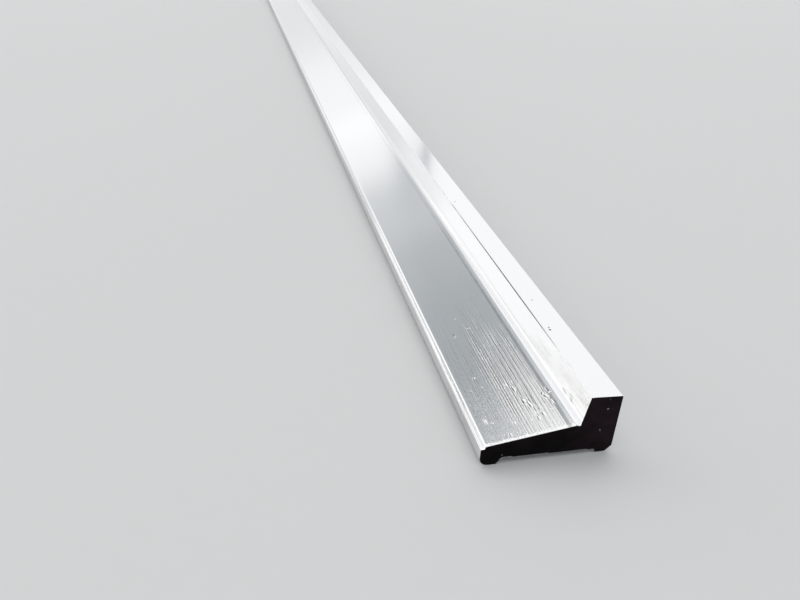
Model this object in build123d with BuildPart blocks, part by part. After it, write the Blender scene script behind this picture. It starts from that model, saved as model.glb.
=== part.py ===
from build123d import *
import os
from math import radians, tan

# An extruded aluminium bar: a sloping web with a foot under its low edge, and a thick upright
# along its high edge. Millimetres, +Z up, +Y along the bar. It lies on its foot and its heel.
# The origin is at the middle of the underside.

# The whole bar
bar_length = 1000.0
bar_width = 20.0
bar_height = 10.0
edge_radius = 0.12

# The upright on the +X side: its top land falls outwards, and its inner flank leans back
land_width = 4.8
land_fall_angle = 3.0
flank_lean_angle = 9.5

# The fine scored line along the land, just inside its edge
edge_groove_inset = 0.1
edge_groove_width = 0.2
edge_groove_depth = 0.1

# The heel under the upright
heel_reach = 2.45
heel_chamfer = 0.95

# The web, which rises from the nose to the upright
web_low_height = 3.37
web_slope_angle = 8.7
web_corner_radius = 0.4

# The shallow groove in the corner between the web and the flank
root_groove_width = 0.7
root_groove_depth = 0.3

# The nose on the -X side: a narrow ledge that drops from the web, and the foot under it
ledge_width = 0.55
ledge_drop = 0.45
nose_under_radius = 1.35
foot_reach = 2.5

# The recess for adhesive, between the foot and the heel
recess_depth = 0.95
recess_fall_angle = 1.6
recess_flank_lean_angle = 40.0
recess_corner_radius = 0.15

# How much of a wall a rounding may take
most_of_wall = 0.85

nose_side = -bar_width / 2
outer_side = bar_width / 2
land_fall = tan(radians(land_fall_angle))
flank_lean = tan(radians(flank_lean_angle))
web_slope = tan(radians(web_slope_angle))
ledge_wall = nose_side + ledge_width
ledge_height = web_low_height - ledge_drop
land_edge = (outer_side - land_width, bar_height)
flank_base = outer_side - land_width - bar_height * flank_lean


def flank_at(height):
    """The point of the leaning flank at this height."""
    return (flank_base + height * flank_lean, height)


def web_at(x):
    """The point of the web's sloping top at this x."""
    return (x, web_low_height + (x - ledge_wall) * web_slope)


def land_at(x):
    """The point of the falling land at this x."""
    return (x, bar_height - (x - land_edge[0]) * land_fall)


# The root is the corner where the web's top meets the flank
root_rise = (flank_base - ledge_wall) * web_slope
root_height = (web_low_height + root_rise) / (1 - flank_lean * web_slope)
root = flank_at(root_height)


def corner_of(sketch, point):
    """The sketch's corner nearest to a place."""
    return sketch.vertices().sort_by_distance(point)[0]


def body_section():
    """The full section, with its rounded and chamfered outer corners."""
    heel_corner = (outer_side, 0)
    land_corner = (outer_side, bar_height - land_width * land_fall)
    web_corner = (ledge_wall, web_low_height)
    ledge_corner = (nose_side, ledge_height)
    under_corner = (nose_side, 0)
    with BuildSketch() as section:
        with BuildLine():
            Polyline(
                under_corner,
                heel_corner,
                land_corner,
                land_edge,
                root,
                web_corner,
                (ledge_wall, ledge_height),
                ledge_corner,
                close=True,
            )
        make_face()
        web_radius = min(web_corner_radius, ledge_drop * most_of_wall)
        under_radius = min(nose_under_radius, ledge_height * most_of_wall)
        fillet(corner_of(section, web_corner), radius=web_radius)
        fillet(corner_of(section, under_corner), radius=under_radius)
        fillet(corner_of(section, ledge_corner), radius=edge_radius)
        fillet(corner_of(section, land_corner), radius=edge_radius)
        chamfer(corner_of(section, heel_corner), length=heel_chamfer)
    return section.sketch


def recess_section():
    """The recess: a ceiling that falls towards the heel, between leaning flanks."""
    fall = tan(radians(recess_fall_angle))
    lean = tan(radians(recess_flank_lean_angle))
    foot_edge = nose_side + foot_reach
    heel_edge = outer_side - heel_reach
    ceiling_start = foot_edge + recess_depth * lean
    end_depth = (recess_depth - (heel_edge - ceiling_start) * fall) / (1 - lean * fall)
    ceiling_end = heel_edge - end_depth * lean
    start_corner = (ceiling_start, recess_depth)
    end_corner = (ceiling_end, end_depth)
    with BuildSketch() as section:
        with BuildLine():
            Polyline((foot_edge, 0), start_corner, end_corner, (heel_edge, 0), close=True)
        make_face()
        fillet(corner_of(section, start_corner), radius=recess_corner_radius)
        fillet(corner_of(section, end_corner), radius=recess_corner_radius)
    return section.sketch


def edge_groove_section():
    """The V groove of the scored line, cut down into the land."""
    groove_start = land_edge[0] + edge_groove_inset
    groove_middle = groove_start + edge_groove_width / 2
    bottom_x, land_level = land_at(groove_middle)
    with BuildSketch() as section:
        with BuildLine():
            Polyline(
                land_at(groove_start),
                (bottom_x, land_level - edge_groove_depth),
                land_at(groove_start + edge_groove_width),
                close=True,
            )
        make_face()
    return section.sketch


def root_groove_section():
    """The shallow groove along the root, from the web's top to the flank."""
    groove_bottom = flank_at(root_height - root_groove_depth)
    with BuildSketch() as section:
        with BuildLine():
            Polyline(root, web_at(root[0] - root_groove_width), groove_bottom, close=True)
        make_face()
    return section.sketch


with BuildPart() as profile:
    with BuildSketch(Plane.XZ):
        add(body_section())
        add(recess_section(), mode=Mode.SUBTRACT)
        add(edge_groove_section(), mode=Mode.SUBTRACT)
        add(root_groove_section(), mode=Mode.SUBTRACT)
    extrude(amount=bar_length / 2, both=True)

profile.part.label = "profile"
os.makedirs("parts", exist_ok=True)
export_step(profile.part, "parts/profile.step")
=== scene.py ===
from math import cos, pi, radians, sin, tan

import bpy
import numpy as np
from mathutils import Matrix, Vector
from mathutils.geometry import delaunay_2d_cdt


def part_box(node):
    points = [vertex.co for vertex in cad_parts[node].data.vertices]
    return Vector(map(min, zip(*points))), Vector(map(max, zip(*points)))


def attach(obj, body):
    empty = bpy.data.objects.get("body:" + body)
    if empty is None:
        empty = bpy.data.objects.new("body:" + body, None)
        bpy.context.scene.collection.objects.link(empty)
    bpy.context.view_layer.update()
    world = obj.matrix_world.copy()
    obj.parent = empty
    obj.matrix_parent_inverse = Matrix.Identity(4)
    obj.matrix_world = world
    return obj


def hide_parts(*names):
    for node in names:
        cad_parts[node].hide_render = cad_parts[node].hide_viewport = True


# The look of a sawn length of aluminium edge bar. The bar lies along Y with its foot and its
# heel on the floor, and the sawn end that the camera sees is at the lowest Y. Metres, +Z up,
# apart from the section, the nicks, the flecks and the spots, which are given in millimetres.
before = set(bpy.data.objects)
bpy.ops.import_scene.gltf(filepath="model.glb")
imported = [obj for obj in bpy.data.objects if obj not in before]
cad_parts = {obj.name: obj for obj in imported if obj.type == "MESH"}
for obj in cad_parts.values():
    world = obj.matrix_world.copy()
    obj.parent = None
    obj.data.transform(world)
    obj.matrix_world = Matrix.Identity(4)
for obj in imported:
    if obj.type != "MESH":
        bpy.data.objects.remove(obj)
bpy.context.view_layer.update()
node = "profile"
MM = 0.001
MICRON = 1e-6

# The whole bar, from the solid
node_low, node_high = (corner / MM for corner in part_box(node))
bar_width = node_high.x - node_low.x
bar_height = node_high.z - node_low.z
bar_length = node_high.y - node_low.y
half_length = bar_length / 2

# The section
edge_radius = 0.12
land_width = 4.8
land_fall = tan(radians(3.0))
flank_lean = tan(radians(9.5))
edge_groove_inset = 0.1
edge_groove_width = 0.2
edge_groove_depth = 0.1
heel_reach = 2.45
heel_chamfer = 0.95
web_low_height = 3.37
web_slope = tan(radians(8.7))
web_corner_radius = 0.38
root_groove_width = 0.7
root_groove_depth = 0.3
ledge_width = 0.55
ledge_drop = 0.45
nose_under_radius = 1.35
foot_reach = 2.5
recess_depth = 0.95
recess_fall = tan(radians(1.6))
recess_lean = tan(radians(40.0))
recess_corner_radius = 0.15

# How softly the die leaves the other corners
soft_radius = 0.05
inner_radius = 0.04

nose_side = -bar_width / 2
outer_side = bar_width / 2
ledge_wall = nose_side + ledge_width
ledge_height = web_low_height - ledge_drop
flank_base = outer_side - land_width - bar_height * flank_lean
root_rise = (flank_base - ledge_wall) * web_slope
root_height = (web_low_height + root_rise) / (1 - flank_lean * web_slope)


def flank_at(height):
    """The point of the leaning flank at this height."""
    return (flank_base + height * flank_lean, height)


def web_at(x):
    """The point of the web's sloping top at this x."""
    return (x, web_low_height + (x - ledge_wall) * web_slope)


def land_at(x):
    """The point of the falling land at this x."""
    return (x, bar_height - (x - outer_side + land_width) * land_fall)


root = flank_at(root_height)
web_end = web_at(root[0] - root_groove_width)


def section_corners():
    """The section's corners in order, each with its radius and the name of the wall after it."""
    foot_edge = nose_side + foot_reach
    heel_edge = outer_side - heel_reach
    ceiling_start = foot_edge + recess_depth * recess_lean
    end_depth = recess_depth - (heel_edge - ceiling_start) * recess_fall
    end_depth = end_depth / (1 - recess_lean * recess_fall)
    ceiling_end = heel_edge - end_depth * recess_lean
    groove_start = outer_side - land_width + edge_groove_inset
    groove_middle, groove_level = land_at(groove_start + edge_groove_width / 2)
    return [
        ((foot_edge, 0), soft_radius, "under"),
        ((nose_side, 0), nose_under_radius, "side"),
        ((nose_side, ledge_height), edge_radius, "ledge"),
        ((ledge_wall, ledge_height), inner_radius, "ledge"),
        ((ledge_wall, web_low_height), web_corner_radius, "web"),
        (web_end, soft_radius, "root"),
        (flank_at(root_height - root_groove_depth), inner_radius, "flank"),
        ((outer_side - land_width, bar_height), soft_radius, "land"),
        (land_at(groove_start), soft_radius, "line"),
        ((groove_middle, groove_level - edge_groove_depth), inner_radius, "line"),
        (land_at(groove_start + edge_groove_width), soft_radius, "land"),
        ((outer_side, bar_height - land_width * land_fall), edge_radius, "outer"),
        ((outer_side, heel_chamfer), soft_radius, "outer"),
        ((outer_side - heel_chamfer, 0), soft_radius, "under"),
        ((heel_edge, 0), soft_radius, "recess"),
        ((ceiling_end, end_depth), recess_corner_radius, "recess"),
        ((ceiling_start, recess_depth), recess_corner_radius, "recess"),
    ]


# How closely the outline is cut up on each wall. Beside each arc, a point holds the flat wall flat.
arc_steps = 6
holding_step = 0.03
wall_step = {"web": 0.07, "root": 0.15, "flank": 0.6, "land": 0.6, "ledge": 0.3, "line": 0.08}
plain_step = 1.2


def rounded_corner(before, corner, after, radius):
    """The points of the arc that rounds a corner."""
    before, corner, after = (Vector(point) for point in (before, corner, after))
    to_before = (before - corner).normalized()
    to_after = (after - corner).normalized()
    half = to_before.angle(to_after) / 2
    reach = radius / tan(half)
    centre = corner + (to_before + to_after).normalized() * (radius / sin(half))
    start = corner + to_before * reach - centre
    turn = -start.angle_signed(corner + to_after * reach - centre)
    turns = [turn * step / arc_steps for step in range(arc_steps + 1)]
    return [centre + Matrix.Rotation(part, 2) @ start for part in turns]


def section_outline():
    """The closed outline of the section, and the name of the wall that each point starts."""
    corners = section_corners()
    arcs = []
    for i, (corner, radius, _) in enumerate(corners):
        after = corners[(i + 1) % len(corners)][0]
        arcs.append(rounded_corner(corners[i - 1][0], corner, after, radius))
    points, walls = [], []
    for i, (_, _, wall) in enumerate(corners):
        points += arcs[i]
        start, end = arcs[i][-1], arcs[(i + 1) % len(arcs)][0]
        span = (end - start).length
        steps = max(1, round(span / wall_step.get(wall, plain_step)))
        shares = [step / steps for step in range(1, steps)]
        if span > 4 * holding_step:
            shares = sorted({holding_step / span, 1 - holding_step / span, *shares})
        points += [start.lerp(end, share) for share in shares]
        walls += [wall] * (len(points) - len(walls))
    return np.array([tuple(point) for point in points]), walls


outline, outline_wall = section_outline()


def outward_normals(points):
    """The outward direction at each point of a closed outline that runs clockwise."""
    along = np.roll(points, -1, axis=0) - np.roll(points, 1, axis=0)
    along /= np.linalg.norm(along, axis=1)[:, None]
    return np.stack([-along[:, 1], along[:, 0]], axis=1)


outline_normal = outward_normals(outline)

# Where the rings of points lie, by their distance from a sawn end. Only the near end has nicks.
edge_rings = [0.0, 0.04, 0.09, 0.15, 0.22, 0.3, 0.38, 0.47, 0.56, 0.66]
nick_zone = 15.6
nick_step = 0.1
plain_step_along = 2.0
plain_growth = 1.7


def ring_distances(with_nicks):
    """The distances of the rings from a sawn end, as far as the middle of the bar."""
    places = list(edge_rings)
    while with_nicks and places[-1] < nick_zone:
        places.append(places[-1] + nick_step)
    step = plain_step_along
    while places[-1] + step < half_length:
        places.append(places[-1] + step)
        step *= plain_growth
    return places


# How far the saw rolls the upper edges of the cut over, and how much its swells and ripples add
edge_reach = 0.42
edge_drop = {"web": 0.07, "root": 0.04, "ledge": 0.03}
edge_roundness = 1.3
edge_swell = 0.5
edge_swell_length = 2.3
edge_ripple = 0.3
edge_ripple_length = 0.5
edge_seed = 11

# The nicks in the web beside the cut: place across and from the end, length, half width, turn in
# degrees and height. The gouge lies on the -X side of the raised lip, or on the +X side where the
# width is negative.
nicks = [
    (-0.48, 6.45, 1.5, 0.15, -8, 0.05),
    (2.12, 8.0, 0.6, 0.17, 24, 0.05),
    (2.36, 7.4, 0.8, 0.15, -6, 0.05),
    (-1.50, 10.49, 1.4, 0.11, -3, 0.04),
    (-0.38, 3.19, 0.9, 0.13, 0, 0.035),
    (-1.06, 7.38, 0.9, 0.14, -6, 0.05),
    (0.58, 3.86, 0.65, 0.12, 0, 0.035),
    (-1.11, 6.49, 0.7, 0.08, 4, 0.02),
    (-3.96, 3.39, 0.4, 0.11, 10, 0.028),
    (2.72, 6.0, 1.0, -0.13, -8, 0.05),
    (2.80, 8.7, 1.1, -0.09, -4, 0.04),
    (3.05, 8.0, 0.35, -0.15, 60, 0.045),
    (2.51, 6.81, 0.4, -0.1, 30, 0.04),
    (2.01, 6.87, 0.35, 0.08, 0, 0.02),
    (-0.25, 4.38, 0.4, 0.08, 0, 0.02),
    (0.55, 4.33, 0.35, 0.07, 0, 0.018),
    (1.79, 4.44, 0.3, 0.08, 0, 0.02),
    (-2.86, 10.99, 0.35, 0.09, 0, 0.02),
    (-2.3, 11.7, 0.8, 0.07, 2, 0.02),
    (1.71, 11.2, 0.45, 0.07, 0, 0.018),
    (-6.24, 14.87, 0.4, 0.1, 15, 0.03),
    (-5.78, 12.3, 0.22, 0.08, 0, 0.02),
    (-7.64, 12.1, 0.2, 0.07, 0, 0.02),
    (-7.66, 4.8, 1.3, 0.06, -6, 0.022),
    (-6.87, 4.2, 0.22, 0.08, 0, 0.025),
    (-5.3, 1.25, 0.5, 0.08, -4, 0.035),
]
gouge_width = 0.095

# How much of a lip and of a gouge takes on its own look, and the lowest nick whose gouge has one.
# A gouge's look is painted shadow.
lip_share = 0.5
gouge_share = 0.45
shadowed_gouge = 0.03


def wavy(values, seed, length, detail=4):
    """A smooth uneven line between -1 and 1 along values, whose swells are about this length."""
    random = np.random.default_rng(seed)
    total = np.zeros_like(values)
    for octave in range(detail):
        wave = 2 * pi * 2 ** octave / length * random.uniform(0.8, 1.2)
        total += np.sin(values * wave + random.uniform(0, 2 * pi)) / 2 ** octave
    return total / 2


edge_fall = np.array([edge_drop.get(wall, 0.0) for wall in outline_wall])


def edge_lift(distance, seed):
    """How far the rolled-over edge sinks each point of the outline, this far from the cut."""
    across = outline[:, 0]
    swells = edge_swell * wavy(across, seed, edge_swell_length)
    ripples = edge_ripple * wavy(across, seed + 1, edge_ripple_length)
    share = np.clip(1 - distance / (edge_reach * (1 + swells + ripples)), 0, 1)
    return -edge_fall * share ** edge_roundness


def nick_parts(x, distance):
    """For each nick, its height and how strongly these places lie on its lip and in its gouge."""
    for nick_x, nick_distance, length, width, turn, height in nicks:
        across, along = x - nick_x, distance - nick_distance
        beside = across * cos(radians(turn)) - along * sin(radians(turn))
        run = across * sin(radians(turn)) + along * cos(radians(turn))
        fade = np.exp(-(np.abs(run) / (length / 2)) ** 4)
        lip = fade * np.exp(-(beside / width) ** 2)
        hollow = beside * np.sign(width) + abs(width) + gouge_width
        gouge = fade * np.exp(-(hollow / gouge_width) ** 2)
        yield height, lip, gouge


def nick_lift(x, distance):
    """How far the nicks raise or sink the web's top, at these places across and from the end."""
    return sum(height * (lip - gouge) for height, lip, gouge in nick_parts(x, distance))


def nick_looks(x, distance):
    """Which of these places lie on a nick's raised lip, and which in its gouge, which is painted
    dark as shadow.
    """
    lips, gouge_shadows = np.zeros(len(x), bool), np.zeros(len(x), bool)
    for height, lip, gouge in nick_parts(x, distance):
        lips |= lip > lip_share
        gouge_shadows |= (gouge > gouge_share) & (height >= shadowed_gouge)
    return lips, gouge_shadows


def ring_points(distance, seed, with_nicks):
    """The outline at this distance from a sawn end, with its rolled-over edge and its nicks."""
    lift = edge_lift(distance, seed)
    if with_nicks:
        web = np.array([wall == "web" for wall in outline_wall])
        lift[web] += nick_lift(outline[web, 0], np.full(web.sum(), distance))
    return outline + outline_normal * lift[:, None]


# The sawn faces: the spacing of their points, their margin at the rim, how near two points are to
# count as one, and the triangulation that keeps within the rim. Then the blade's arcs and their
# swells, and the thin burr along the recess, with its waves in radians to a millimetre.
cap_step = 0.16
cap_margin = 0.05
merge_distance = 1e-7
only_inside = 1
saw_centre = np.array([-70.0, 120.0])
saw_pitch = 0.42
saw_depth = 0.006
saw_swell_length = 3.1
saw_seed = 5
under_burr = 0.035
burr_uneven = 0.5
burr_waves = 7

# The bright flecks of swarf on the near sawn face: place in the section, and radius
flecks = [
    (8.05, 7.71, 0.12),
    (7.59, 4.03, 0.11),
    (-6.76, 1.53, 0.1),
    (8.11, 9.4, 0.08),
    (4.72, 4.5, 0.07),
]


def inside_outline(points, shape, margin):
    """Which points lie inside a closed outline, and at least the margin from it."""
    start, end = shape, np.roll(shape, -1, axis=0)
    x, y = points[:, 0:1], points[:, 1:2]
    crosses = (start[:, 1] > y) != (end[:, 1] > y)
    rise = end[:, 1] - start[:, 1]
    rise = np.where(rise == 0, np.inf, rise)
    left_of = x < (end[:, 0] - start[:, 0]) * (y - start[:, 1]) / rise + start[:, 0]
    inside = (crosses & left_of).sum(axis=1) % 2 == 1
    side = end - start
    share = ((points[:, None] - start) * side).sum(axis=2) / (side ** 2).sum(axis=1)
    nearest = start + np.clip(share, 0, 1)[:, :, None] * side
    gap = np.linalg.norm(points[:, None] - nearest, axis=2).min(axis=1)
    return inside & (gap > margin)


def saw_marks(points):
    """How far the blade's arcs lift the cut, at these points of the section."""
    reach = np.linalg.norm(points - saw_centre, axis=1)
    swells = wavy(reach, saw_seed, saw_swell_length)
    return saw_depth * (np.sin(reach * 2 * pi / saw_pitch) + swells)


def cap_triangles(shape):
    """The sawn face's points and triangles. The first points are the outline's own."""
    low, high = shape.min(axis=0), shape.max(axis=0)
    across = np.arange(low[0], high[0], cap_step)
    up = np.arange(low[1], high[1], cap_step)
    grid = np.stack(np.meshgrid(across, up), axis=-1)
    grid[1::2, :, 0] += cap_step / 2
    grid = grid.reshape(-1, 2)
    grid = grid[inside_outline(grid, shape, cap_margin)]
    points = np.concatenate([shape, grid])
    rim = [(i, (i + 1) % len(shape)) for i in range(len(shape))]
    corners = [Vector(point) for point in points]
    made = delaunay_2d_cdt(corners, rim, [], only_inside, merge_distance)
    assert len(made[0]) == len(points)
    return points, [tuple(face) for face in made[2]]


# The looks that the faces hold, in the order of the bar's materials
metal_look, line_look, sawn_look, torn_look, lip_look, gouge_shadow_look = range(6)
sharp_corner = radians(28)


def joined_rings(rings):
    """The faces between the rings of points, and the look of each."""
    count = len(outline)
    faces, looks = [], []
    middle_x = (outline[:, 0] + np.roll(outline[:, 0], -1)) / 2
    is_web = np.array([wall == "web" for wall in outline_wall])
    is_line = np.array([wall == "line" for wall in outline_wall])
    for ring in range(len(rings) - 1):
        distance = half_length + (rings[ring][0] + rings[ring + 1][0]) / 2
        look = np.where(is_line, line_look, metal_look)
        if distance < nick_zone:
            lips, gouge_shadows = nick_looks(middle_x, distance)
            look[is_web & gouge_shadows] = gouge_shadow_look
            look[is_web & lips] = lip_look
        looks += look.tolist()
        for i in range(count):
            j = (i + 1) % count
            a, b = ring * count, (ring + 1) * count
            faces.append((a + j, a + i, b + i, b + j))
    return faces, looks


def close_end(verts, faces, looks, first, side):
    """Add the sawn face to the ring of points that starts at first, on the -Y or the +Y side."""
    count = len(outline)
    shape = np.array([(x, z) for x, _, z in verts[first:first + count]])
    points, triangles = cap_triangles(shape)
    start = len(verts) - count
    for (x, z), mark in zip(points[count:], saw_marks(points)[count:]):
        verts.append((x, side * (half_length + mark), z))
    for triangle in triangles:
        middle = points[list(triangle)].mean(axis=0)
        fleck = side < 0 and any(np.hypot(middle[0] - x, middle[1] - z) < r for x, z, r in flecks)
        # Triangles at the recess's rim take the lighter torn look: partly the torn burr, partly a
        # painted highlight along the edge
        rim = any(v < count and outline_wall[v] == "recess" for v in triangle)
        triangle = [first + v if v < count else start + v for v in triangle]
        faces.append(triangle if side > 0 else triangle[::-1])
        looks.append(torn_look if fleck or rim else sawn_look)
    for i in range(count):
        if outline_wall[i] == "recess":
            x, y, z = verts[first + i]
            burr = under_burr * (1 + burr_uneven * sin(x * burr_waves))
            verts[first + i] = (x, y + side * burr, z)


def bar_mesh():
    """The bar's mesh: rings of the outline from one sawn face to the other."""
    near = [(-half_length + d, ring_points(d, edge_seed, True)) for d in ring_distances(True)]
    far = [(half_length - d, ring_points(d, edge_seed + 2, False)) for d in ring_distances(False)]
    rings = near + far[::-1]
    verts = [(x, y, z) for y, points in rings for x, z in points]
    last_ring = len(verts) - len(outline)
    faces, looks = joined_rings(rings)
    close_end(verts, faces, looks, 0, -1)
    close_end(verts, faces, looks, last_ring, 1)
    mesh = bpy.data.meshes.new("edge_bar")
    mesh.from_pydata([tuple(c * MM for c in vert) for vert in verts], [], faces)
    mesh.polygons.foreach_set("material_index", looks)
    mesh.validate()
    mesh.shade_smooth()
    mesh.set_sharp_from_angle(angle=sharp_corner)
    return mesh


# A Mix node has a set of sockets for each kind of value, and these are the ones for colours
mix_first_colour, mix_other_colour, mix_made_colour = 6, 7, 2


class Graph:
    """A material's nodes, joined up from short calls."""

    def __init__(self, name):
        self.material = bpy.data.materials.new(name)
        self.material.use_nodes = True
        self.tree = self.material.node_tree
        self.shader = self.tree.nodes["Principled BSDF"]

    def add(self, kind, inputs=(), **settings):
        """A node with these settings, its inputs given in order as numbers or as other sockets."""
        made = self.tree.nodes.new(kind)
        for key, value in settings.items():
            setattr(made, key, value)
        for place, value in enumerate(inputs):
            self.give(made.inputs[place], value)
        return made

    def give(self, socket, value):
        """Join the value to the socket, or set the socket to it."""
        if isinstance(value, bpy.types.NodeSocket):
            self.tree.links.new(value, socket)
        elif value is not None:
            socket.default_value = value

    def math(self, operation, *values, clamp=False):
        """The result of this operation on these values."""
        return self.add("ShaderNodeMath", values, operation=operation, use_clamp=clamp).outputs[0]

    def vector(self, operation, *values):
        """The vector node for this operation."""
        return self.add("ShaderNodeVectorMath", values, operation=operation)

    def product(self, first, *others):
        """All these values multiplied together."""
        for other in others:
            first = self.math("MULTIPLY", first, other)
        return first

    def place(self):
        """The place on the bar, in metres."""
        return self.add("ShaderNodeTexCoord").outputs["Object"]

    def across_and_from_end(self):
        """How far across the bar a place lies, and how far from the nearer sawn end, in metres."""
        axes = self.add("ShaderNodeSeparateXYZ", [self.place()])
        from_middle = self.math("ABSOLUTE", axes.outputs["Y"])
        return axes.outputs["X"], self.math("SUBTRACT", half_length * MM, from_middle)

    def noise(self, grain, detail=2.0, roughness=0.5, shift=0.0):
        """Uneven noise with this many grains to a metre along each axis."""
        moved = self.vector("MULTIPLY_ADD", self.place(), grain, (shift, shift, shift))
        made = self.add("ShaderNodeTexNoise", [moved.outputs[0]], noise_dimensions="3D")
        made.inputs["Scale"].default_value = 1.0
        made.inputs["Detail"].default_value = detail
        made.inputs["Roughness"].default_value = roughness
        return made.outputs["Fac"]

    def ramp(self, value, low, high, out_low=0.0, out_high=1.0):
        """The value, taken smoothly from the range low to high to the other range."""
        made = self.add("ShaderNodeMapRange", [value, low, high, out_low, out_high],
                        interpolation_type="SMOOTHSTEP")
        return made.outputs[0]

    def colour_between(self, share, one, other):
        """The first colour, with this share of the other one over it."""
        made = self.add("ShaderNodeMix", data_type="RGBA")
        self.give(made.inputs["Factor"], share)
        self.give(made.inputs[mix_first_colour], one)
        self.give(made.inputs[mix_other_colour], other)
        return made.outputs[mix_made_colour]

    def finish(self, colour, metallic, roughness, height=None, height_scale=1.0):
        """The finished material. A height of 1 is a bump of height_scale metres."""
        self.give(self.shader.inputs["Base Color"], colour)
        self.give(self.shader.inputs["Metallic"], metallic)
        self.give(self.shader.inputs["Roughness"], roughness)
        if height is not None:
            bump = self.add("ShaderNodeBump")
            bump.inputs["Distance"].default_value = height_scale
            self.give(bump.inputs["Height"], height)
            self.tree.links.new(bump.outputs[0], self.shader.inputs["Normal"])
        return self.material


# The colours of the metal and of its marks
metal_colour = (0.815, 0.82, 0.825, 1)
# Painted shade along the root of the flank, and a painted highlight beside it
root_shade_colour = (0.53, 0.535, 0.535, 1)
root_highlight_colour = (0.92, 0.925, 0.925, 1)
mottle_colour = (0.50, 0.51, 0.51, 1)
worn_colour = (0.97, 0.96, 0.935, 1)
# Painted shadow and painted highlight beside each scratch
scratch_shadow_colour = (0.05, 0.05, 0.05, 1)
scratch_highlight_colour = (1.0, 0.995, 0.98, 1)
chalk_colour = (1.0, 1.0, 1.0, 1)
pit_colour = (0.08, 0.08, 0.08, 1)
clean_line_colour = (0.9, 0.9, 0.9, 1)
# Painted shade in the scored line's groove
line_shade_colour = (0.06, 0.06, 0.07, 1)

# The painted shade on the sawn face of the web and of the upright, near-black with a little
# purple, and torn metal: two colours each
web_painted_shade = ((0.005, 0.004, 0.0045, 1), (0.009, 0.0065, 0.0075, 1))
upright_painted_shade = ((0.011, 0.0065, 0.0085, 1), (0.019, 0.0095, 0.014, 1))
swarf_colours = ((0.16, 0.15, 0.16, 1), (0.42, 0.40, 0.41, 1))
lip_colours = ((0.98, 0.98, 0.98, 1), (1.0, 1.0, 1.0, 1))
# Painted shadow in the nicks' gouges
gouge_shadow_colours = ((0.06, 0.06, 0.06, 1), (0.15, 0.15, 0.15, 1))

# How many grains each noise has to a metre, along each axis
die_grain = (7000, 9, 7000)
broad_grain = (1300, 4, 1300)
smudge_grain = (160, 45, 160)
ragged_grain = (4500, 2600, 4500)
run_grain = (2900, 150, 2900)
mottle_grain = (6500, 5000, 6500)
patch_grain = (2400, 420, 2400)
line_shade_grain = (1500, 260, 1500)
shade_tone_grain = (420, 420, 420)
sawn_grain = (9000, 9000, 9000)
torn_grain = (6000, 6000, 6000)
floor_grain = (300, 300, 300)

# Where the marks lie, as ramps over the place across the bar or the distance from the nearer end,
# in metres. A ramp's second pair is the strengths that it runs between, if they aren't 0 and 1.
# A strip's sides are two ramps, for its -X and its +X side.
open_web_end = (0.0026, 0.0023)
flat_web_start = (-0.0090, -0.0086)
scratch_start = (0.040, 0.032)
scratch_start_spread = 0.013
scratch_depth = (0.032, 0.015, 0.25, 1.0)
scratch_left = (-0.0046, -0.0032, 0.25, 1.0)
scratch_near_cut = (0.002, 0.008, 0.4, 1.0)
scratch_at_cut = (0.0003, 0.0011, 0.15, 1.0)
wear_reach = (0.021, 0.004)
wear_left = (-0.0075, 0.0015, 0.17, 1.0)
mottle_reach = (0.028, 0.008, 0.15, 1.0)
speck_reach = (0.020, 0.005)
root_shade_sides = ((0.00248, 0.00276), (0.0034, 0.0029))
root_shade_reach = (0.10, 0.030, 0.2, 0.68)
root_shade_at_cut = (0.010, 0.002, 0.0, 0.32)
root_highlight_sides = ((0.00305, 0.0034), (0.00385, 0.00375))
root_highlight_reach = (0.065, 0.045)
root_highlight_at_cut = (0.003, 0.012, 0.3, 1.0)
line_near_cut = (0.006, 0.029, 0.2, 1.0)
line_fades = (0.03, 0.10, 0.0, 0.95)
upright_start = (0.002, 0.006)

# Ramps over a noise or a chance
scratch_runs = (0.36, 0.55, 0.4, 1.25)
scratch_strengths = (0.1, 0.7, 0.55, 1.0)
root_shade_patches = (0.35, 0.6, 0.75, 1.25)
mottle_dark = (0.5, 0.36)
speck_sizes = (0.34, 0.24)
speck_chances = (0.5, 1.0, 0.0, 0.65)
line_shade_found = (0.75, 1.05)
shade_tone_found = (0.35, 0.7)
torn_found = (0.35, 0.65)

# The scratches: metres between them and how far they slant, in their two sets
coarse_spacing = 0.00046
coarse_slant = 0.004
fine_spacing = 0.00023
fine_slant = -0.005
fine_share = 0.6
scratch_uneven = 0.75
scratch_raggedness = 0.45

# A scratch's painted highlight, painted shadow and groove: how far each lies off its middle, where
# it starts and where it is full, in spacings
scratch_parts = ((0.10, 0.12, 0.04), (-0.13, 0.19, 0.06), (0.0, 0.2, 0.0))

# How much of the wear's colour shows, and how much of the metal the chalky specks hide
worn_share = 0.45
chalk_cover = 0.9

# The chalky specks: how many to a metre, how they stretch, and how ragged they are
speck_scale = 2300
speck_stretch = (1, 0.7, 0)
speck_raggedness = 0.3

# How many of the blade's finest arcs there are to a metre
fine_arcs = 9000

# How rough the metal is, and what its marks add. Four numbers are a ramp over the metal's grain.
plain_roughness = 0.095
die_roughness = 0.04
smudge_roughness = 0.02
wear_roughness = 0.15
root_highlight_roughness = 0.10
speck_roughness = 0.3
line_roughness = (0.3, 0.7, 0.4, 0.55)
sawn_roughness = (0.3, 0.7, 0.34, 0.5)
torn_roughness = (0.3, 0.7, 0.35, 0.5)

# How high the relief is, in microns
die_height = 0.4
broad_height = 1.0
scratch_height = -13.0
mottle_height = 15.0
speck_height = 4.0
arc_height = 2.5
sawn_height = 3.0
swarf_height = 8.0
lip_height = 10.0
gouge_height = 6.0

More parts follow.
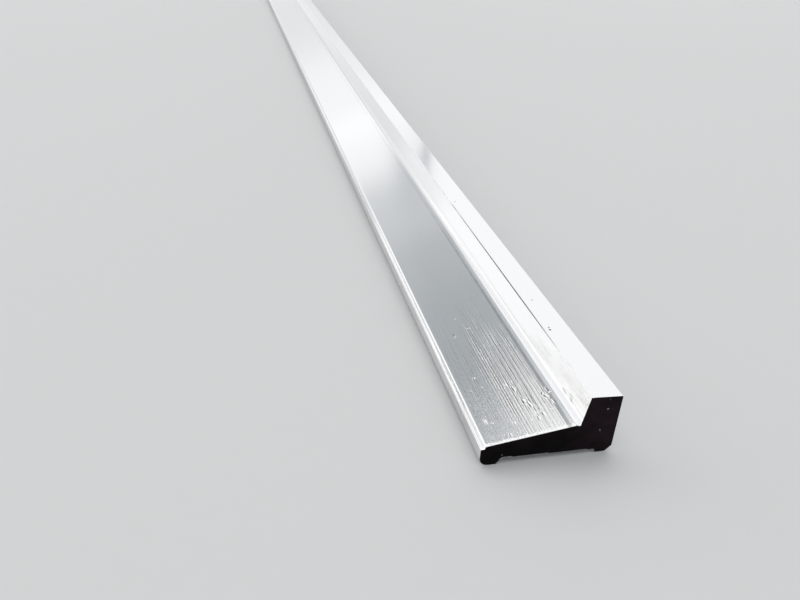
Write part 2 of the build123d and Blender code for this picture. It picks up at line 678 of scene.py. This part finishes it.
# Tiny dark pits and chalky spots: the wall, the place across and from the near end, and the
# radius, in millimetres
dark_pits = [
    (land_at, 6.42, 17.5, 0.27),
    (land_at, 6.52, 18.2, 0.2),
    (land_at, 7.16, 26.9, 0.18),
    (land_at, 6.51, 70.3, 0.2),
    (web_at, -5.97, 27.3, 0.17),
]
chalk_spots = [
    (web_at, -5.74, 26.8, 0.2),
    (web_at, -6.0, 26.4, 0.2),
    (web_at, -3.25, 28.25, 0.2),
    (web_at, -2.9, 28.3, 0.18),
    (web_at, -4.35, 31.8, 0.22),
]
chalk_strength = 0.45


def spot(graph, wall_at, x, distance, radius):
    """A round spot on a wall: 1 within half its radius, and 0 past all of it."""
    middle = Vector((*wall_at(x), distance - half_length)).xzy * MM
    gap = graph.vector("DISTANCE", graph.place(), middle)
    return graph.ramp(gap.outputs["Value"], radius * MM, radius * MM / 2)


def scratch_set(graph, across, from_end, spacing, slant, shift):
    """Ragged hairlines at uneven places: the painted highlight, the painted shadow and the depth at
    each place.
    """
    place = graph.math("MULTIPLY_ADD", across, 1 / spacing, shift)
    place = graph.math("MULTIPLY_ADD", from_end, slant / spacing, place)
    ragged = graph.noise(ragged_grain, detail=2, roughness=0.6, shift=shift)
    place = graph.math("MULTIPLY_ADD", ragged, scratch_raggedness, place)
    lines = graph.add("ShaderNodeTexVoronoi", voronoi_dimensions="1D")
    lines.inputs["Scale"].default_value = 1.0
    lines.inputs["Randomness"].default_value = scratch_uneven
    graph.give(lines.inputs["W"], place)
    chances = graph.add("ShaderNodeSeparateXYZ", [lines.outputs["Color"]])
    reach = graph.math("MULTIPLY_ADD", chances.outputs["X"], scratch_start_spread, from_end)
    strength = graph.ramp(chances.outputs["Y"], *scratch_strengths)
    strength = graph.math("MULTIPLY", strength, graph.ramp(reach, *scratch_start))
    offset = graph.math("SUBTRACT", place, lines.outputs["W"])
    found = []
    for side, edge, core in scratch_parts:
        gap = graph.math("ABSOLUTE", graph.math("ADD", offset, side))
        found.append(graph.math("MULTIPLY", graph.ramp(gap, edge, core), strength))
    return found


def scratches(graph, across, from_end, open_web):
    """The scratches beside the cut: the painted highlight, the painted shadow and the depth at each
    place.
    """
    runs = graph.noise(run_grain, detail=1, shift=41)
    depth = graph.product(
        graph.ramp(from_end, *scratch_depth),
        open_web,
        graph.ramp(across, *scratch_left),
        graph.ramp(from_end, *scratch_near_cut),
        graph.ramp(from_end, *scratch_at_cut),
        graph.ramp(runs, *scratch_runs),
    )
    coarse = scratch_set(graph, across, from_end, coarse_spacing, coarse_slant, shift=3.3)
    fine = scratch_set(graph, across, from_end, fine_spacing, fine_slant, shift=71.7)
    found = []
    for small, large in zip(fine, coarse):
        both = graph.math("MULTIPLY_ADD", small, fine_share, large)
        found.append(graph.math("MULTIPLY", both, depth, clamp=True))
    return found


def chalky_specks(graph, from_end, open_web, mottle):
    """The tiny chalky specks beside the cut, and the single chalky spots further along."""
    flat_place = graph.vector("MULTIPLY", graph.place(), speck_stretch)
    cells = graph.add("ShaderNodeTexVoronoi", [flat_place.outputs[0]], voronoi_dimensions="2D")
    cells.inputs["Scale"].default_value = speck_scale
    chance = graph.add("ShaderNodeSeparateXYZ", [cells.outputs["Color"]]).outputs["X"]
    gap = graph.math("MULTIPLY_ADD", mottle, speck_raggedness, cells.outputs["Distance"])
    specks = graph.product(graph.ramp(gap, *speck_sizes), graph.ramp(chance, *speck_chances))
    specks = graph.product(specks, graph.product(graph.ramp(from_end, *speck_reach), open_web))
    for place in chalk_spots:
        specks = graph.math("MULTIPLY_ADD", spot(graph, *place), chalk_strength, specks)
    return specks


def root_strips(graph, across, from_end):
    """The painted shade along the root, where the scratches stop, and the painted highlight beside
    it.
    """
    patches = graph.ramp(graph.noise(patch_grain, detail=2, shift=57), *root_shade_patches)
    along = graph.math("ADD", graph.ramp(from_end, *root_shade_reach), graph.ramp(from_end, *root_shade_at_cut))
    root_shade = graph.product(*(graph.ramp(across, *side) for side in root_shade_sides))
    root_shade = graph.product(root_shade, graph.product(along, patches))
    root_highlight = graph.product(*(graph.ramp(across, *side) for side in root_highlight_sides))
    along = graph.product(graph.ramp(from_end, *root_highlight_reach), graph.ramp(from_end, *root_highlight_at_cut))
    root_highlight = graph.product(root_highlight, along)
    return root_shade, root_highlight


def anodised_material():
    """Satin aluminium with the die's fine lines, and scratches and wear beside each cut."""
    graph = Graph("anodised_aluminium")
    across, from_end = graph.across_and_from_end()
    open_web = graph.ramp(across, *open_web_end)
    die_lines = graph.noise(die_grain, detail=3, roughness=0.6)
    broad_lines = graph.noise(broad_grain, detail=2, shift=7)
    smudges = graph.noise(smudge_grain, detail=3, shift=3)
    mottle = graph.noise(mottle_grain, detail=3, roughness=0.65, shift=23)
    flat_web = graph.ramp(across, *flat_web_start)
    mottled = graph.product(graph.ramp(from_end, *mottle_reach), open_web, flat_web)
    wear_across = graph.ramp(across, *wear_left)
    wear = graph.product(graph.ramp(from_end, *wear_reach), open_web, wear_across)
    painted_highlight, painted_shadow, groove = scratches(graph, across, from_end, open_web)
    specks = chalky_specks(graph, from_end, open_web, mottle)
    root_shade, root_highlight = root_strips(graph, across, from_end)

    rough = graph.math("MULTIPLY_ADD", die_lines, die_roughness, plain_roughness)
    rough = graph.math("MULTIPLY_ADD", smudges, smudge_roughness, rough)
    rough = graph.math("MULTIPLY_ADD", wear, wear_roughness, rough)
    rough = graph.math("MULTIPLY_ADD", root_highlight, root_highlight_roughness, rough)
    rough = graph.math("MULTIPLY_ADD", specks, speck_roughness, rough)
    height = graph.math("MULTIPLY", die_lines, die_height)
    height = graph.math("MULTIPLY_ADD", broad_lines, broad_height, height)
    height = graph.math("MULTIPLY_ADD", groove, scratch_height, height)
    height = graph.math("MULTIPLY_ADD", graph.product(mottle, mottled), mottle_height, height)
    height = graph.math("MULTIPLY_ADD", specks, speck_height, height)
    layers = [
        # Painted shade along the root, and a painted highlight beside it
        (root_shade, root_shade_colour),
        (root_highlight, root_highlight_colour),
        (graph.product(graph.ramp(mottle, *mottle_dark), mottled), mottle_colour),
        (graph.math("MULTIPLY", wear, worn_share), worn_colour),
        # Painted shadow and painted highlight beside each scratch
        (painted_shadow, scratch_shadow_colour),
        (painted_highlight, scratch_highlight_colour),
        (specks, chalk_colour),
        *((spot(graph, *place), pit_colour) for place in dark_pits),
    ]
    colour = metal_colour
    for share, layer_colour in layers:
        colour = graph.colour_between(share, colour, layer_colour)
    metallic = graph.math("MULTIPLY_ADD", specks, -chalk_cover, 1.0)
    return graph.finish(colour, metallic, rough, height, MICRON)


def line_material():
    """The scored line in the land, painted dark as shade in its groove, and fading beside the cut.
    """
    graph = Graph("scored_line")
    shade_noise = graph.noise(line_shade_grain, detail=2)
    from_end = graph.across_and_from_end()[1]
    left_in = graph.math("SUBTRACT", graph.ramp(from_end, *line_near_cut),
                         graph.ramp(from_end, *line_fades))
    found = graph.ramp(graph.math("ADD", shade_noise, left_in), *line_shade_found)
    colour = graph.colour_between(graph.product(found, left_in), clean_line_colour, line_shade_colour)
    return graph.finish(colour, 1.0, graph.ramp(shade_noise, *line_roughness))


def sawn_material():
    """The face of the cut, painted near-black as shade, with the blade's arcs and a little purple.
    """
    graph = Graph("sawn_aluminium")
    # A random tone within the painted shade
    shade_tone = graph.ramp(graph.noise(shade_tone_grain, detail=4, roughness=0.6), *shade_tone_found)
    grain = graph.noise(sawn_grain, detail=3, roughness=0.7, shift=5)
    centre = (-saw_centre[0] * MM, 0, -saw_centre[1] * MM)
    from_centre = graph.vector("ADD", graph.place(), centre).outputs[0]
    level = graph.vector("MULTIPLY", from_centre, (1, 0, 1)).outputs[0]
    reach = graph.math("MULTIPLY", graph.vector("LENGTH", level).outputs["Value"], fine_arcs)
    arcs = graph.add("ShaderNodeTexNoise", [None, reach], noise_dimensions="1D")
    arcs.inputs["Scale"].default_value = 1.0
    height = graph.math("MULTIPLY", grain, sawn_height)
    height = graph.math("MULTIPLY_ADD", arcs.outputs["Fac"], arc_height, height)
    in_web = graph.colour_between(shade_tone, *web_painted_shade)
    in_upright = graph.colour_between(shade_tone, *upright_painted_shade)
    # The upright's painted shade is a little lighter and more purple than the web's
    upright = graph.ramp(graph.across_and_from_end()[0], *upright_start)
    colour = graph.colour_between(upright, in_web, in_upright)
    return graph.finish(colour, 1.0, graph.ramp(grain, *sawn_roughness), height, MICRON)


def torn_metal(name, colours, height, metallic=1.0):
    """Metal that the saw or a knock has torn."""
    graph = Graph(name)
    grain = graph.noise(torn_grain, detail=2, shift=17)
    colour = graph.colour_between(graph.ramp(grain, *torn_found), *colours)
    roughness = graph.ramp(grain, *torn_roughness)
    return graph.finish(colour, metallic, roughness, grain, height * MICRON)


def bar_materials():
    """The bar's materials, in the order of the looks that its faces hold."""
    return [
        anodised_material(),
        line_material(),
        sawn_material(),
        torn_metal("swarf", swarf_colours, swarf_height),
        torn_metal("nick_lip", lip_colours, lip_height, metallic=0.9),
        # The gouges' dark colour is painted shadow
        torn_metal("nick_gouge_shadow", gouge_shadow_colours, gouge_height),
    ]


def make_bar():
    """The dressed bar, in the solid's place."""
    mesh = bar_mesh()
    for material in bar_materials():
        mesh.materials.append(material)
    bar = bpy.data.objects.new("edge_bar", mesh)
    bpy.context.scene.collection.objects.link(bar)
    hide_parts(node)
    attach(bar, "root")


make_bar()

# The stage: a plain pale floor, soft panels round its far side and one overhead
floor_radius = 2.75
floor_sides = 128
floor_colour = (0.74, 0.74, 0.735, 1)
floor_roughness = (0.3, 0.7, 0.65, 0.75)
sky_colour = (0.90, 0.955, 1.0, 1)
sky_strength = 0.51
lamp_colour = (1.0, 0.97, 0.94)
near_end = Vector((0, -half_length * MM, 0))


def make_floor():
    """A round floor about the near sawn end, which the panels stand around."""
    turns = [2 * pi * side / floor_sides for side in range(floor_sides)]
    rim = [near_end + Vector((cos(turn), sin(turn), 0)) * floor_radius for turn in turns]
    mesh = bpy.data.meshes.new("floor")
    mesh.from_pydata(rim, [], [list(range(floor_sides))])
    graph = Graph("pale_floor")
    roughness = graph.ramp(graph.noise(floor_grain, detail=2), *floor_roughness)
    mesh.materials.append(graph.finish(floor_colour, 0.0, roughness))
    floor = bpy.data.objects.new("floor", mesh)
    bpy.context.scene.collection.objects.link(floor)


def make_sky():
    """A soft even light from all round."""
    world = bpy.data.worlds.new("studio")
    world.use_nodes = True
    background = world.node_tree.nodes["Background"]
    background.inputs["Color"].default_value = sky_colour
    background.inputs["Strength"].default_value = sky_strength
    bpy.context.scene.world = world


def toward(azimuth, elevation, distance):
    """The place of a lamp's edge, as the near sawn end sees it. Azimuths turn clockwise from +Y."""
    azimuth, elevation = radians(azimuth), radians(elevation)
    return near_end + Vector((sin(azimuth), cos(azimuth), tan(elevation))) * distance


def soft_lamp(name, place, target, upright, width, height, radiance):
    """A rectangular soft lamp that faces the target, with its height along the upright."""
    light = bpy.data.lights.new(name, "AREA")
    light.shape = "RECTANGLE"
    light.size = width
    light.size_y = height
    light.energy = radiance * width * height * pi
    light.color = lamp_colour
    lamp = bpy.data.objects.new(name, light)
    back = (Vector(place) - Vector(target)).normalized()
    side = Vector(upright).cross(back).normalized()
    turned = Matrix((side, back.cross(side), back)).transposed().to_4x4()
    lamp.matrix_world = Matrix.Translation(place) @ turned
    lamp.visible_camera = False
    bpy.context.scene.collection.objects.link(lamp)


def upright_panel(name, azimuths, elevations, distance, radiance):
    """A soft upright panel between two azimuths and two elevations, facing the near sawn end."""
    left, right = (toward(azimuth, 0, distance) for azimuth in azimuths)
    bottom, top = (distance * tan(radians(elevation)) for elevation in elevations)
    middle = (left + right) / 2 + Vector((0, 0, (bottom + top) / 2))
    target = Vector((near_end.x, near_end.y, middle.z))
    soft_lamp(name, middle, target, (0, 0, 1), (right - left).length, top - bottom, radiance)


def leaning_strip(name, low_end, high_end, width, distance, radiance):
    """A long soft lamp between two directions, each an azimuth and an elevation."""
    low, high = toward(*low_end, distance), toward(*high_end, distance)
    soft_lamp(name, (low + high) / 2, near_end, high - low, width, (high - low).length, radiance)


make_floor()
make_sky()

# The lamps. An upright panel is given by its azimuths and its elevations, a leaning strip by its
# ends and its width, and both then by their distance and their radiance. Lamps that overlap stand
# at different distances, because a ray meets only one of two lamps in the same plane.
upright_panel("left_panel", (-62, -25.5), (0, 38), 3.0, 0.92)
upright_panel("left_end", (-80, -40.5), (0, 38), 2.94, 0.33)
leaning_strip("left_strip", (-11, 23.5), (-26, 49), 0.62, 2.9, 0.85)
upright_panel("far_panel", (-25.5, 16.9), (11.5, 17.5), 3.0, 0.34)
upright_panel("far_upper", (-25.5, 6.9), (17.5, 22.6), 3.03, 0.38)
upright_panel("far_glow", (-25.5, 16.9), (0, 20.5), 3.06, 0.28)
upright_panel("far_top", (-25.5, 16.9), (20.5, 26.5), 3.07, 0.17)
upright_panel("far_top_left", (-25.5, 6), (20.5, 25.5), 3.30, 0.07)
upright_panel("far_fade", (-25.5, 16.9), (24, 31), 3.09, 0.065)
upright_panel("far_left", (-25.5, 6), (26.5, 50), 3.21, 0.04)
upright_panel("far_mid", (-25.5, 16.9), (8.6, 11.5), 3.0, 0.14)
upright_panel("far_low", (-25.5, 16.9), (0, 8.6), 3.12, 0.05)
upright_panel("far_right", (6, 15.5), (5, 14.5), 3.24, 0.08)
upright_panel("low_panel", (-25.5, 5), (0, 7.3), 3.18, 0.20)
upright_panel("low_bright", (-13, 5), (1.5, 6.5), 3.27, 0.03)
upright_panel("low_left", (-25.5, -21), (0, 9), 3.15, 0.25)
upright_panel("right_panel", (17.6, 64), (0, 50), 3.02, 0.67)
leaning_strip("ledge_strip", (12.5, 23.5), (19, 36), 0.2, 2.97, 0.74)
soft_lamp("overhead", place=(0, -0.3, 2.2), target=(0, -0.3, 0), upright=(0, 1, 0),
          width=2.6, height=3.5, radiance=0.69)

# The camera, in metres and radians, for a picture of this width in pixels
image_width = 800
focal_pixels = 731.9
camera_place = Vector((-0.04103, -0.57161, 0.06981))
camera_yaw = radians(14.416)
camera_pitch = radians(29.745)
camera_roll = radians(3.311)
nearest_seen = 0.005


def make_camera():
    """The scene's camera, which is level before it rolls."""
    data = bpy.data.cameras.new("camera")
    data.lens = focal_pixels / image_width * data.sensor_width
    data.clip_start = nearest_seen
    camera = bpy.data.objects.new("camera", data)
    bpy.context.scene.collection.objects.link(camera)
    forward = Vector((sin(camera_yaw), cos(camera_yaw), -tan(camera_pitch))).normalized()
    level = Vector((cos(camera_yaw), -sin(camera_yaw), 0))
    upward = level.cross(forward)
    right = level * cos(camera_roll) + upward * sin(camera_roll)
    up = upward * cos(camera_roll) - level * sin(camera_roll)
    turned = Matrix((right, up, -forward)).transposed().to_4x4()
    camera.matrix_world = Matrix.Translation(camera_place) @ turned
    bpy.context.scene.camera = camera


make_camera()
bpy.context.scene.view_settings.view_transform = "Standard"
